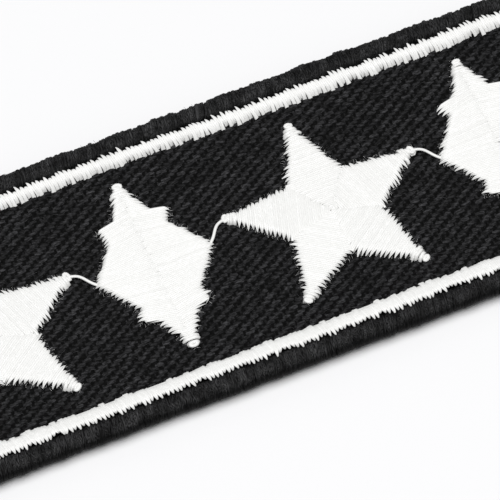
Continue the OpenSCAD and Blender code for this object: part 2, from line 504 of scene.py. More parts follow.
# Steps of the plain rings and sheets
COARSE_STEP = 1.0
ring, _ = walk_round(PATCH_SIZE[0], PATCH_SIZE[1], CORNER_R, COARSE_STEP)
print(len(ring), "millimetres round the patch")

# %% [markdown]
# ## A satin column
# Satin stitch is one thread that runs to and fro across a column, so close that it
# hides the cloth. Two runs go into each needle hole, and that gives the saw-toothed
# edge of all machine embroidery. Both ends of every run are under the cloth, so each
# run can be a short chain of its own here.
# Each of its two points knows where both ends would be if all runs were even, how far
# each end is pulled to its needle hole, and which end the point is: "across" is -1 on
# the left and 1 on the right.
# The tree crowds its steps near the ends, where the thread bends most. Within "reach"
# of an end it pulls the run to the hole and makes it finer. Within Shoulder of an end
# the run falls from the satin's top into the cloth.

# %% Build the satin tree
satin_column, satin_in = new_tree(
    "satin_column", Steps=("Int", 9), Rise=("Float", 0.4 * MM), Dip=("Float", 0.1 * MM),
    Knot=("Float", 0.2 * MM), Shoulder=("Float", 0.8 * MM), Unevenness=("Float", 0.05),
    Seed=("Int", 1), **THREAD_INPUTS)
SATIN_ATTRIBUTES = {
    "across": "FLOAT", "left": "FLOAT_VECTOR", "right": "FLOAT_VECTOR", "left_pull": "FLOAT_VECTOR",
    "right_pull": "FLOAT_VECTOR", "reach": "FLOAT", "fall": "FLOAT", "fine": "FLOAT", "blob": "FLOAT"}
# How sharply the pull to the hole and the fall into the cloth set in
PULL_POWER = 1.5
FALL_POWER = 3.0


def satin_tree(tree, group):
    """Fills the satin column's tree."""
    point = {name: add_node(tree, "GeometryNodeInputNamedAttribute", {"Name": name}, data_type=kind)
             for name, kind in SATIN_ATTRIBUTES.items()}
    curve = add_node(tree, "GeometryNodeMeshToCurve", {0: group["Geometry"]})
    run = add_node(tree, "GeometryNodeSubdivideCurve", {"Curve": curve, "Cuts": group["Steps"]})
    pieces = add_node(tree, "ShaderNodeMath", {0: group["Steps"], 1: 2.0}, operation="ADD")
    count = add_node(tree, "ShaderNodeMath", {0: add_node(tree, "GeometryNodeInputIndex"), 1: pieces},
                     operation="DIVIDE")
    number = add_node(tree, "ShaderNodeMath", {0: count}, operation="FLOOR")
    shade = add_node(tree, "FunctionNodeRandomValue", {2: 0.0, 3: 1.0, 7: number, 8: group["Seed"]},
                     data_type="FLOAT")
    shaded = add_node(tree, "GeometryNodeStoreNamedAttribute", {
        "Geometry": run, "Name": "strand", "Value": shade.outputs[1]}, domain="POINT")

    angle = add_node(tree, "ShaderNodeMath", {0: point["across"], 1: math.pi / 2}, operation="MULTIPLY")
    crowded = add_node(tree, "ShaderNodeMath", {0: angle}, operation="SINE")
    share = add_node(tree, "ShaderNodeMath", {0: crowded, 1: 0.5, 2: 0.5}, operation="MULTIPLY_ADD")
    even = add_node(tree, "ShaderNodeMix", {0: share, 4: point["left"], 5: point["right"]},
                    data_type="VECTOR")
    outwards = add_node(tree, "ShaderNodeVectorMath", {0: point["right"], 1: point["left"]},
                        operation="SUBTRACT")
    length = add_node(tree, "ShaderNodeVectorMath", {0: outwards}, operation="LENGTH")
    far = add_node(tree, "ShaderNodeMath", {0: crowded}, operation="ABSOLUTE")
    near = add_node(tree, "ShaderNodeMath", {0: -0.5, 1: far, 2: 0.5}, operation="MULTIPLY_ADD")
    from_end = add_node(tree, "ShaderNodeMath", {0: near, 1: length.outputs["Value"]}, operation="MULTIPLY")

    gathered = add_node(tree, "ShaderNodeMapRange", {0: from_end, 1: 0.0, 2: point["reach"], 3: 1.0, 4: 0.0})
    bent = add_node(tree, "ShaderNodeMath", {0: gathered, 1: PULL_POWER}, operation="POWER")
    on_right = add_node(tree, "ShaderNodeMath", {0: crowded, 1: 0.0}, operation="GREATER_THAN")
    pull = add_node(tree, "ShaderNodeMix", {0: on_right, 4: point["left_pull"], 5: point["right_pull"]},
                    data_type="VECTOR")
    pulled = add_node(tree, "ShaderNodeVectorMath", {0: pull.outputs[1], "Scale": bent}, operation="SCALE")
    flat = add_node(tree, "ShaderNodeVectorMath", {0: even.outputs[1], 1: pulled}, operation="ADD")

    falling = add_node(tree, "ShaderNodeMapRange", {
        0: from_end, 1: 0.0, 2: group["Shoulder"], 3: 1.0, 4: 0.0})
    fall = add_node(tree, "ShaderNodeMath", {0: falling, 1: FALL_POWER}, operation="POWER")
    lower = add_node(tree, "ShaderNodeMath", {0: shade.outputs[1], 1: group["Unevenness"]},
                     operation="MULTIPLY")
    share_up = add_node(tree, "ShaderNodeMath", {0: 1.0, 1: lower}, operation="SUBTRACT")
    height = add_node(tree, "ShaderNodeMath", {0: group["Rise"], 1: share_up}, operation="MULTIPLY")
    whole = add_node(tree, "ShaderNodeMath", {0: height, 1: group["Dip"]}, operation="ADD")
    fallen = add_node(tree, "ShaderNodeMath", {0: fall, 1: point["fall"]}, operation="MULTIPLY")
    lost = add_node(tree, "ShaderNodeMath", {0: whole, 1: fallen}, operation="MULTIPLY")
    lift = add_node(tree, "ShaderNodeMath", {0: height, 1: lost}, operation="SUBTRACT")
    upwards = add_node(tree, "ShaderNodeCombineXYZ", {2: lift})
    place = add_node(tree, "ShaderNodeVectorMath", {0: flat, 1: upwards}, operation="ADD")
    arched = add_node(tree, "GeometryNodeSetPosition", {"Geometry": shaded, "Position": place})

    finer = add_node(tree, "ShaderNodeMath", {0: gathered, 1: point["fine"]}, operation="MULTIPLY")
    slim = add_node(tree, "ShaderNodeMath", {0: 1.0, 1: finer}, operation="SUBTRACT")
    turning = add_node(tree, "ShaderNodeMapRange", {0: from_end, 1: 0.0, 2: group["Knot"], 3: 1.0, 4: 0.0})
    bulk = add_node(tree, "ShaderNodeMath", {0: turning, 1: point["blob"], 2: slim},
                    operation="MULTIPLY_ADD")
    sweep_thread(tree, group, arched, bulk)


satin_tree(satin_column, satin_in)
print(satin_column.name, "has", len(satin_column.nodes), "nodes")

# %% [markdown]
# ## From two edges to a seed
# A column is given by its left and right edge, with one station for each run, and by
# how each edge is stitched. The numbers for an edge say how far apart twins stay at
# their shared hole, as a share of even spacing, how far the needle may overshoot in
# millimetres, by what share the thread gets finer there, how much of the whole fall
# it makes, how much it swells again where it turns down into the hole, and over how
# many millimetres the pull is felt. At a seam inside an ornament the thread hardly
# falls, for others lie below.

# %% Seeds for satin
# Columns: twins apart, overshoot, finer, fall, blob, reach
SHARP_EDGE = np.array((0.12, 0.26, 0.85, 0.85, 0.0, 0.6))
LONG_EDGE = np.array((0.08, 0.3, 0.97, 0.8, 0.0, 0.85))
DULL_EDGE = np.array((0.2, 0.17, 0.8, 0.9, 0.0, 0.5))
SOFT_EDGE = np.array((0.35, 0.18, 0.6, 1.0, 1.0, 0.33))
CALM_EDGE = np.array((0.6, 0.14, 0.2, 0.9, 1.1, 0.4))
SEAM = np.array((0.9, 0.2, 0.0, 0.2, 0.0, 0.5))
TWINS_APART, OVERSHOOT = 0, 1
STYLE_KEYS = {"fine": 2, "fall": 3, "blob": 4, "reach": 5}
# How far the needle strays from its hole's place
WANDER = 0.06


def needle_pulls(edge, outwards, first, style):
    """How far each run's end is pulled from its even place to its needle hole."""
    run = np.arange(len(edge))
    hole = (run + first) // 2
    holes = hole[-1] + 1
    station = np.clip(2 * hole + 0.5 - first, 0, len(edge) - 1)
    apart = style[:, TWINS_APART]
    twins = apart + apart * (1 - apart) * rng.uniform(-1, 1, holes)[hole]
    station = station + twins * (run - station)
    place = np.column_stack([np.interp(station, run, edge[:, k]) for k in (0, 1)])
    overshoot = rng.uniform(-1, 1, holes)[hole] * style[:, OVERSHOOT]
    wander = rng.normal(0, WANDER, (holes, 2))[hole]
    return place - edge + overshoot[:, None] * outwards + wander


def satin_seed(name, columns, left_up):
    """A seed for columns, each of which is (left edge, right edge, left stitching, right stitching)."""
    rows = {key: [] for key in ("left", "right", "left_pull", "right_pull", *STYLE_KEYS)}
    for left, right, left_style, right_style in columns:
        left_style = np.broadcast_to(left_style, (len(left), len(SEAM)))
        right_style = np.broadcast_to(right_style, (len(left), len(SEAM)))
        outwards = (right - left) / np.linalg.norm(right - left, axis=1)[:, None]
        rows["left"].append(at_height(left, GROUND_TOP + left_up))
        rows["right"].append(at_height(right, GROUND_TOP))
        rows["left_pull"].append(at_height(needle_pulls(left, -outwards, 0, left_style), 0.0))
        rows["right_pull"].append(at_height(needle_pulls(right, outwards, 1, right_style), 0.0))
        for key, number in STYLE_KEYS.items():
            rows[key].append(np.column_stack([left_style[:, number], right_style[:, number]]))
    rows = {key: np.concatenate(values) for key, values in rows.items()}
    runs = np.stack([rows["left"], rows["right"]], axis=1)
    both_ends = {key: values.ravel() if key in STYLE_KEYS else np.repeat(values, 2, axis=0)
                 for key, values in rows.items()}
    return seed_object(name, list(runs), across=np.tile([-1.0, 1.0], len(runs)), **both_ends)


def stitch(name, columns, seed, lower, left_up=0.0, **sizes):
    """Grows satin from a list of columns, its threads this much lower than the satin's top."""
    return grow(name, satin_seed(name, columns, left_up), satin_column, Seed=seed,
                Rise=SATIN_TOP - GROUND_TOP - lower, Material=white_rayon, **sizes)


print("an edge's stitching is", len(SEAM), "numbers")

# %% [markdown]
# ## The white line
# Inside the binding runs a narrow satin column. Its stitches repeat every 0.4 mm.
# On the outer side the thread is pulled tight, which makes sharp, slanting teeth. On
# the inner side it is slack, so that side is rounder and softer.
# Cloth moves while it is sewn, and so the line swells, narrows and wavers slightly.
# Along the lower edge the line was sewn a little further out, and its teeth are duller.

# %% Stitch the white line
STITCH_REPEAT = 0.4
RUN_SPACING = STITCH_REPEAT / 2
SLANT = 0.16
# How far the stitches go past the solid line half way up the patch, and how much
# further than that along its upper edge
OUTER_OVER, OUTER_OVER_ABOVE = 0.21, -0.19
INNER_OVER, INNER_OVER_ABOVE = -0.12, 0.15
# Columns: stations between two random values, most drift, seed
OUTER_DRIFT = (6, 0.1, 2)
INNER_DRIFT = (8, 0.09, 3)
LINE_DRIFT = (40, 0.06, 1)


def slow_noise(count, every, amount, seed):
    """A closed row of values that drift smoothly between random ones."""
    knots = max(4, int(count / every))
    values = np.random.default_rng(seed).uniform(-amount, amount, knots)
    place = np.arange(count) / count * knots
    part = place % 1
    place = place - part + part * part * (3 - 2 * part)
    return np.interp(place, np.arange(knots + 1), np.append(values, values[0]))


border_size = BORDER_HIGH - BORDER_LOW
border_r = CORNER_R - (PATCH_SIZE[0] - border_size[0]) / 2
half_w = BORDER_W / 2
middle, outs = walk_round(
    border_size[0] - BORDER_W, border_size[1] - BORDER_W, border_r - half_w, RUN_SPACING)
heading = np.column_stack([-outs[:, 1], outs[:, 0]])
upper = outs[:, 1]
drift = slow_noise(len(middle), *LINE_DRIFT)
outer_half = half_w + OUTER_OVER + OUTER_OVER_ABOVE * upper + slow_noise(len(middle), *OUTER_DRIFT) + drift
inner_half = half_w + INNER_OVER + INNER_OVER_ABOVE * upper + slow_noise(len(middle), *INNER_DRIFT) - drift
share_up = upper[:, None] / 2 + 0.5
outer_style = share_up * LONG_EDGE + (1 - share_up) * DULL_EDGE
inner_style = share_up * SOFT_EDGE + (1 - share_up) * CALM_EDGE
outer_edge = middle + outs * outer_half[:, None] + heading * SLANT
inner_edge = middle - outs * inner_half[:, None] - heading * SLANT
border_satin = stitch(
    "border_satin", [(outer_edge, inner_edge, outer_style, inner_style)], seed=5, lower=0.18,
    left_up=0.3, Steps=8, Knot=0.3, Shoulder=0.6, Unevenness=0.15, Width=0.31, Thickness=0.14)

# %% [markdown]
# ## The stars
# A star is five satin columns, one for each point. Each runs from the middle out to
# its point, and its runs lie square to it. Neighbouring columns meet along a line
# from the middle to the corner between their points, where both threads dive into
# the cloth, and that draws the fine seams on a stitched star.
# A point is too narrow for close satin, so it ends in a few coarse, round loops.

# %% Stitch the stars
STARS = ("star_left", "star_middle", "star_right")
STAR_POINTS = 5
POINT_TURN = 360 / STAR_POINTS
# The corners between a star's points lie at this share of the points' distance
STAR_VALLEY = 5.0 / 10.5
# How much of a point is left to its loops, and how narrow it may get
TIP_LENGTH = 1.4
TIP_HALF = 0.36
# Where a column starts, how far it goes on into the loops, over a seam and over the outline
FIRST_RUN = 0.12
TIP_OVER, SEAM_OVER, EDGE_OVER = 0.2, 0.14, 0.05
ORNAMENT_SATIN = {"lower": 0.08, "Steps": 12, "Unevenness": 0.1, "Width": 0.29, "Thickness": 0.13}


def star_size(node):
    """A star's middle and the distance to its points, from its node's box."""
    low, high = box_mm(node)
    reach = (high[0] - low[0]) / 2 / math.sin(math.radians(POINT_TURN))
    return np.array(((low[0] + high[0]) / 2, high[1] - reach)), reach


def star_half_width(steps, reach):
    """Half the width of a star's column at each distance from the middle, and where it is widest."""
    shoulder = STAR_VALLEY * reach * math.cos(math.radians(POINT_TURN / 2))
    widest = STAR_VALLEY * reach * math.sin(math.radians(POINT_TURN / 2))
    return np.minimum(steps * widest / shoulder, (reach - steps) * widest / (reach - shoulder)), shoulder


def star_arms():
    """The direction of each point of a star, and the direction across it."""
    for arm in range(STAR_POINTS):
        angle = math.radians(90 + POINT_TURN * arm)
        yield np.array((math.cos(angle), math.sin(angle))), np.array((-math.sin(angle), math.cos(angle)))


def star_columns(centre, reach):
    """A satin column for each point of the star."""
    steps = np.arange(FIRST_RUN, reach - TIP_LENGTH + TIP_OVER, RUN_SPACING)
    half, shoulder = star_half_width(steps, reach)
    inside_star = (steps < shoulder)[:, None]
    half = half[:, None] + np.where(inside_star, SEAM_OVER, EDGE_OVER)
    style = np.where(inside_star, SEAM, SHARP_EDGE)
    for axis, sideways in star_arms():
        line = centre + steps[:, None] * axis
        yield line + half * sideways, line - half * sideways, style, style


star_satin = {node: stitch(node + "_satin", star_columns(*star_size(node)), seed=20 + i, **ORNAMENT_SATIN)
              for i, node in enumerate(STARS)}

# %% [markdown]
# ## The lozenges
# A lozenge is too wide for one satin column, because long runs would snag. It is split
# down its middle, where the two halves mesh like the teeth of a zip. On their way out
# the runs slope towards the side corners, and beside these they lie level. Each ends
# where it meets the outline, so the small thorns on the sides show.

# %% Stitch the lozenges
LOZENGES = ("lozenge_left", "lozenge_right")
# Columns: share of the way from the upper or lower point to the side corner, distance
# out from that line
LOZENGE_SIDE = ((0, 0), (0.4, -0.4), (0.5, 0.8), (0.58, -0.4), (1, 0))
MOST_SLOPE = math.radians(12)
# The runs slope most from this far above and below the side corners
SLOPE_FROM = 5.0
MESH_OVER = 0.2
# A divisor of 0 becomes this small number, and a hit nearer than RAY_START is the ray's own start
NEXT_TO_NOTHING = 1e-9
RAY_START = 1e-6


def lozenge_outline(node):
    """The lozenge's outline, clockwise from its upper point."""
    low, high = box_mm(node)
    centre, half = (low[:2] + high[:2]) / 2, (high[:2] - low[:2]) / 2
    top, corner = np.array((0, half[1])), np.array((half[0], 0))
    run = corner - top
    out = np.array((-run[1], run[0])) / np.linalg.norm(run)
    side = np.array([top + share * run + away * out for share, away in LOZENGE_SIDE])
    lower = side[-2::-1] * (1, -1)
    return centre + np.concatenate([side, lower, side[1:] * (-1, -1), side[-2:0:-1] * (-1, 1)])


def reach_of(outline, start, way):
    """How far a ray runs inside an outline before it first meets it."""
    a, b = outline, np.roll(outline, -1, axis=0)
    edge = b - a
    cross = way[0] * edge[:, 1] - way[1] * edge[:, 0]
    cross = np.where(abs(cross) < NEXT_TO_NOTHING, NEXT_TO_NOTHING, cross)
    gap = a - start
    along = (gap[:, 0] * edge[:, 1] - gap[:, 1] * edge[:, 0]) / cross
    share = (gap[:, 0] * way[1] - gap[:, 1] * way[0]) / cross
    hits = along[(share >= 0) & (share <= 1) & (along > RAY_START)]
    return hits.min() if len(hits) else 0.0


def lozenge_columns(node):
    """The two halves of a lozenge, each from its lower point up to its upper one."""
    outline = lozenge_outline(node)
    centre, half_height = outline.mean(axis=0), np.ptp(outline[:, 1]) / 2
    steps = np.arange(-half_height + TIP_LENGTH, half_height - TIP_LENGTH, RUN_SPACING)
    slope = MOST_SLOPE * np.clip(steps / SLOPE_FROM, -1, 1)
    for hand in (-1, 1):
        ways = np.column_stack([hand * np.cos(slope), -np.sin(slope)])
        seam = centre + np.column_stack([np.zeros(len(steps)), steps])
        run = np.array([max(TIP_HALF, reach_of(outline, p, way)) for p, way in zip(seam, ways)])
        yield seam - MESH_OVER * ways, seam + (run[:, None] + EDGE_OVER) * ways, SEAM, SHARP_EDGE


lozenge_satin = {node: stitch(node + "_satin", lozenge_columns(node), seed=40 + i, **ORNAMENT_SATIN)
                 for i, node in enumerate(LOZENGES)}

# %% [markdown]
# ## Loops at the points
# At each point the stitching gets coarse: a few thick, round loops lie side by side
# and the cloth shows dark between them. At the very end the thread curls round
# itself, which leaves a small round knob.

# %% Make the loops
# The loops' distances back from the tip. They go on a little under the close satin.
FIRST_LOOP, LOOP_SPACING, LOOPS_UNDER = 0.85, 0.31, 0.3
LOOP_BACKS = np.arange(FIRST_LOOP, TIP_LENGTH + LOOPS_UNDER, LOOP_SPACING)
LOOP_OVER = 0.08
LOOP_STRAY = 0.06
LOOSE = (1.0, 0.03, -0.1, 1.0, 0.0, 0.3)
# A knob's half width across its point and along it, before its random size
KNOB_HALF = (0.31, 0.16)
KNOB_SIZES = (1.0, 1.45)
# Distance of a knob's middle back from the tip: always, and for each unit of its size
KNOB_BACK, KNOB_BACK_BY_SIZE = 0.2, 0.22
KNOB_STRAY = 0.05
# The thread of a knob: its points, the turns where it starts and ends, its size at the end
CURL_POINTS = 16
CURL_TURNS = (-0.15, 1.3)
CURL_SHRINK = 0.7
# Height of the curl's start and end above the cloth, and how far and suddenly both dive
CURL_LOW, CURL_HIGH, CURL_DIVE = 0.12, 0.3, 0.3
DIVE_POWER = 6


def points_of_ornaments():
    """For each point: its tip, the way to it, the way across, and half the width at each loop."""
    for node in STARS:
        centre, reach = star_size(node)
        for axis, sideways in star_arms():
            yield centre + reach * axis, axis, sideways, star_half_width(reach - LOOP_BACKS, reach)[0]
    across = np.array((1.0, 0.0))
    for node in LOZENGES:
        outline = lozenge_outline(node)
        centre, half_height = outline.mean(axis=0), np.ptp(outline[:, 1]) / 2
        for end in (-1, 1):
            tip, axis = centre + (0, end * half_height), np.array((0.0, end))
            yield tip, axis, across, [reach_of(outline, tip - back * axis, across) for back in LOOP_BACKS]


def curl(tip, axis, sideways):
    """The thread's way round the knob at a tip: it comes up, goes round and dives inside."""
    turn = np.linspace(*CURL_TURNS, CURL_POINTS) * 2 * math.pi + rng.uniform(0, 2 * math.pi)
    hand = rng.choice((-1, 1))
    size = rng.uniform(*KNOB_SIZES)
    shrink = size * np.linspace(1.0, CURL_SHRINK, CURL_POINTS)[:, None]
    flat = (np.sin(hand * turn)[:, None] * sideways * KNOB_HALF[0]
            + np.cos(turn)[:, None] * axis * KNOB_HALF[1])
    dive = CURL_DIVE * np.abs(np.linspace(-1, 1, CURL_POINTS)) ** DIVE_POWER
    middle = tip - (KNOB_BACK + KNOB_BACK_BY_SIZE * size) * axis + rng.normal(0, KNOB_STRAY, 2)
    return np.column_stack([
        middle + flat * shrink, GROUND_TOP + np.linspace(CURL_LOW, CURL_HIGH, CURL_POINTS) - dive])


lefts, rights, curls = [], [], []
for tip, axis, sideways, halves in points_of_ornaments():
    curls.append(curl(tip, axis, sideways))
    for back, half in zip(LOOP_BACKS, np.maximum(TIP_HALF, halves) + LOOP_OVER):
        lefts.append(tip - back * axis + sideways * half)
        rights.append(tip - back * axis - sideways * half)
lefts, rights = np.array(lefts), np.array(rights)
lefts += rng.normal(0, LOOP_STRAY, lefts.shape)
rights += rng.normal(0, LOOP_STRAY, rights.shape)
tip_loops = stitch(
    "point_loops", [(lefts, rights, LOOSE, LOOSE)], seed=7, lower=0.14, Steps=11, Dip=0.12,
    Shoulder=0.42, Unevenness=0.35, Width=0.36, Thickness=0.27, Sides=8)
curl_seed = seed_object("point_curls", curls, strand=rng.uniform(0, 1, CURL_POINTS * len(curls)))
tip_curls = grow("point_curls", curl_seed, plain_thread, Width=0.37, Thickness=0.26, Sides=8,
                 Material=white_rayon)
print(len(lefts), "loops and", len(curls), "curls")

# %% [markdown]
# ## Padding under the satin
# Under good satin lie a few rows of padding stitches. They show only as white in the
# gaps and behind the seams, so a low mound inside each outline is enough here.

# %% Lay the padding
# Columns: size of the outline, height above the cloth
MOUND_LEVELS = ((0.9, 0.0), (0.88, 0.12), (0.8, 0.18))
# Columns: distance in from the white line's outer edge, height above the cloth
LINE_PADDING = ((0.6, 0.0), (0.65, 0.16), (0.85, 0.2), (1.1, 0.14), (1.15, 0.0))


def mesh_piece(name, points, faces, material, smooth=True):
    """A mesh object from points in millimetres."""
    mesh = bpy.data.meshes.new(name)
    mesh.from_pydata((np.asarray(points) * MM).tolist(), [], faces)
    mesh.materials.append(material)
    mesh.polygons.foreach_set("use_smooth", [smooth] * len(mesh.polygons))
    mesh.update()
    piece = bpy.data.objects.new(name, mesh)
    bpy.context.scene.collection.objects.link(piece)
    return piece


def bands(rings, sides):
    """The four-sided faces between closed rings of points, each ring followed by the next."""
    return [(k * sides + i, k * sides + (i + 1) % sides,
             (k + 1) * sides + (i + 1) % sides, (k + 1) * sides + i)
            for k in range(rings - 1) for i in range(sides)]


def end_caps(rings, sides):
    """The two faces that close the first and the last of such rings."""
    return [tuple(range(sides - 1, -1, -1)), tuple(range((rings - 1) * sides, rings * sides))]


def star_outline(node):
    """The star's outline, anticlockwise from its upper point."""
    centre, reach = star_size(node)
    corners = np.arange(2 * STAR_POINTS)
    turns = np.radians(90 + POINT_TURN / 2 * corners)
    radii = np.where(corners % 2, STAR_VALLEY * reach, reach)
    return centre + np.column_stack([np.cos(turns), np.sin(turns)]) * radii[:, None]


def mound(name, outline):
    """A low, closed mound of white thread over an outline that goes anticlockwise."""
    middle = outline.mean(axis=0)
    n = len(outline)
    points = [(*(middle + (p - middle) * size), GROUND_TOP + up)
              for size, up in MOUND_LEVELS for p in outline]
    points += [(*middle, GROUND_TOP), (*middle, GROUND_TOP + MOUND_LEVELS[-1][1])]
    low, top = len(points) - 2, len(points) - 1
    last = (len(MOUND_LEVELS) - 1) * n
    faces = bands(len(MOUND_LEVELS), n)
    faces += [(low, (i + 1) % n, i) for i in range(n)]
    faces += [(top, last + i, last + (i + 1) % n) for i in range(n)]
    return mesh_piece(name, points, faces, white_rayon, smooth=False)


def ring_piece(name, section, material):
    """A closed ring round the patch. Its section is (distance in from the patch's edge, height) points."""
    edge, outs = walk_round(PATCH_SIZE[0], PATCH_SIZE[1], CORNER_R, COARSE_STEP)
    points = [(*(p - o * inwards), z) for p, o in zip(edge, outs) for inwards, z in section]
    sides, rings = len(section), len(edge)
    faces = [(r * sides + s, n * sides + s, n * sides + t, r * sides + t)
             for r in range(rings) for n in [(r + 1) % rings]
             for s in range(sides) for t in [(s + 1) % sides]]
    return mesh_piece(name, points, faces, material)


OUTLINES = {node: star_outline(node) for node in STARS}
OUTLINES.update({node: lozenge_outline(node)[::-1] for node in LOZENGES})
padding_pieces = [mound(node + "_padding", outline) for node, outline in OUTLINES.items()]
line_from = (PATCH_SIZE[0] - border_size[0]) / 2
line_section = [(line_from + inwards, GROUND_TOP + up) for inwards, up in LINE_PADDING]
padding_pieces.append(ring_piece("border_padding", line_section, white_rayon))
print("padding:", ", ".join(p.name for p in padding_pieces))

# %% [markdown]
# ## The bound edge
# The edge is overlocked: a bulky thread is wrapped round and round it, so tightly
# that the wraps press against each other and their ends run into one soft surface.
# The wraps are one long coil, which leans on its way across the top. Its section is a
# rounded block that hangs lower than the ground. A dark core keeps light from showing
# through from behind.

# %% Wrap the edge
WRAP_SPACING = 0.28
WRAP_WIDTH = 0.42
WRAP_THICK = 0.2
WRAP_POINTS = 15
WRAP_LEAN = 0.4
# Random spread of the wraps' swelling, of each point's and of the lean
WRAP_SPREAD, POINT_SPREAD, LEAN_SPREAD = 0.05, 0.022, 0.04
# Columns: wraps between two random values, most swelling, seed
WRAP_DRIFTS = ((3, 0.1, 8), (11, 0.06, 9))
# Share of the swelling half way up the patch, and how much more along its upper edge
SWELL_SHARE, SWELL_ABOVE = 0.7, 0.3
# A wrap swells this many times less in height than outwards
SWELL_FLATTER = 3
OVAL_POWER = 0.7
CORE_SIDES = 16
BINDING_T = PATCH_SIZE[2]
BINDING_Z = (PATCH_LOW[2] + PATCH_HIGH[2]) / 2


def oval(turn, half_width, half_height):
    """A point on a flattened oval: distance outwards and height."""
    out, up = np.cos(turn), np.sin(turn)
    return (half_width * np.sign(out) * abs(out) ** OVAL_POWER,
            half_height * np.sign(up) * abs(up) ** OVAL_POWER)


def wrap_path():
    """The coil's points, the way along the edge at each, and the shade of each wrap."""
    edge, outs = walk_round(PATCH_SIZE[0], PATCH_SIZE[1], CORNER_R, WRAP_SPACING)
    wraps = len(edge)
    turns = np.arange(wraps * WRAP_POINTS) / WRAP_POINTS

    def along_coil(values):
        """A value for each wrap, led over evenly from one wrap to the next."""
        return np.interp(turns, np.arange(wraps + 1), np.append(values, values[0]))

    x, y = (along_coil(edge[:, i]) for i in (0, 1))
    out_x, out_y = (along_coil(outs[:, i]) for i in (0, 1))
    drifts = [slow_noise(wraps, *drift) for drift in WRAP_DRIFTS]
    swell = along_coil(rng.normal(0, WRAP_SPREAD, wraps) + drifts[0] + drifts[1])
    swell = (swell + rng.normal(0, POINT_SPREAD, len(turns))) * (SWELL_SHARE + SWELL_ABOVE * out_y)
    angle = -2 * math.pi * turns
    away, up = oval(angle, (BINDING_W - WRAP_THICK) / 2 + swell,
                    (BINDING_T - WRAP_THICK) / 2 + swell / SWELL_FLATTER)
    inwards = BINDING_W / 2 - away
    lean = along_coil(rng.normal(0, LEAN_SPREAD, wraps)) - WRAP_LEAN * np.cos(angle)
    points = np.column_stack([
        x - out_x * inwards - out_y * lean, y - out_y * inwards + out_x * lean, BINDING_Z + up])
    along = np.column_stack([-out_y, out_x, np.zeros(len(x))])
    return points, along, along_coil(rng.uniform(0, 1, wraps))


path, along, shades = wrap_path()
wrap_seed = seed_object("edge_wraps", [path], closed=True, side=along, strand=shades)
edge_wraps = grow("edge_wraps", wrap_seed, plain_thread, Width=WRAP_WIDTH, Thickness=WRAP_THICK,
                  Material=black_overlock)
core_turns = np.arange(CORE_SIDES) * 2 * math.pi / CORE_SIDES
core_away, core_up = oval(core_turns, BINDING_W / 2 - WRAP_THICK, BINDING_T / 2 - WRAP_THICK)
edge_core = ring_piece("edge_core", list(zip(BINDING_W / 2 - core_away, BINDING_Z + core_up)), ground_cloth_in_shade)
print("edge_core:", len(edge_core.data.polygons), "faces")

# %% [markdown]
# ## The ground and the tape
# Both are flat sheets of cloth, cut with round corners. Their weave is made below as
# yarns, or drawn by the material, so the sheets themselves stay plain.

# %% Cut the sheets
# Columns: distance in from the edge, share of the thickness
CUT_EDGE = ((0.12, 0.0), (0.0, 0.3), (0.0, 0.7), (0.12, 1.0))
# How deep below the ground's face its yarns start
YARN_DEPTH = 0.12


def cut_sheet(name, low, high, material):
    """A flat sheet between two corners of a box, with a slightly rounded edge."""
    length, width, thick = high - low
    inset = (PATCH_SIZE[0] - length) / 2
    edge, outs = walk_round(length, width, CORNER_R - inset, COARSE_STEP)
    points = [at_height(edge - outs * inwards, low[2] + share * thick) for inwards, share in CUT_EDGE]
    faces = bands(len(CUT_EDGE), len(edge)) + end_caps(len(CUT_EDGE), len(edge))
    return mesh_piece(name, np.concatenate(points), faces, material, smooth=False)


ground_sheet = cut_sheet("ground_sheet", GROUND_LOW, GROUND_HIGH - (0, 0, YARN_DEPTH), ground_cloth_in_shade)
tape_sheet = cut_sheet("tape_sheet", TAPE_LOW, TAPE_HIGH, nylon_tape)

# %% [markdown]
# ## Many copies of one small thing
# Floats, crossings and hooks are each many copies of one small mesh. One more tree
# puts a copy on each marked point, with the turn and the size that the point carries,
# and makes the copies real at the end.

# %% Build the copying tree
copies_on_points, copies_in = new_tree(
    "copies_on_points", Copy=("Object", None), Seed=("Int", 1), Material=("Material", None))


def copying_tree(tree, group):
    """Fills the copying tree."""
    dots = add_node(tree, "GeometryNodeMeshToPoints", {0: group["Geometry"]})
    source = add_node(tree, "GeometryNodeObjectInfo", {"Object": group["Copy"]})
    turn = add_node(tree, "GeometryNodeInputNamedAttribute", {"Name": "turn"}, data_type="FLOAT_VECTOR")
    size = add_node(tree, "GeometryNodeInputNamedAttribute", {"Name": "size"}, data_type="FLOAT_VECTOR")
    rotation = add_node(tree, "FunctionNodeEulerToRotation", {0: turn})
    placed = add_node(tree, "GeometryNodeInstanceOnPoints", {
        "Points": dots, "Instance": source.outputs["Geometry"], "Rotation": rotation, "Scale": size})
    shade = add_node(tree, "FunctionNodeRandomValue", {2: 0.0, 3: 1.0, 8: group["Seed"]}, data_type="FLOAT")
    shaded = add_node(tree, "GeometryNodeStoreNamedAttribute", {
        "Geometry": placed, "Name": "strand", "Value": shade.outputs[1]}, domain="INSTANCE")
    real = add_node(tree, "GeometryNodeRealizeInstances", {"Geometry": shaded})
    dyed = add_node(tree, "GeometryNodeSetMaterial", {"Geometry": real, "Material": group["Material"]})
    add_node(tree, "NodeGroupOutput", {0: dyed})


def scatter(name, copy, points, turns, sizes, seed, material):
    """Grows one piece with a copy on each point."""
    dots = seed_object(name, [points], turn=turns, size=sizes)
    piece = grow(name, dots, copies_on_points, Copy=copy, Seed=seed, Material=material)
    bpy.data.objects.remove(copy)
    return piece


copying_tree(copies_on_points, copies_in)
print(copies_on_points.name, "has", len(copies_on_points.nodes), "nodes")

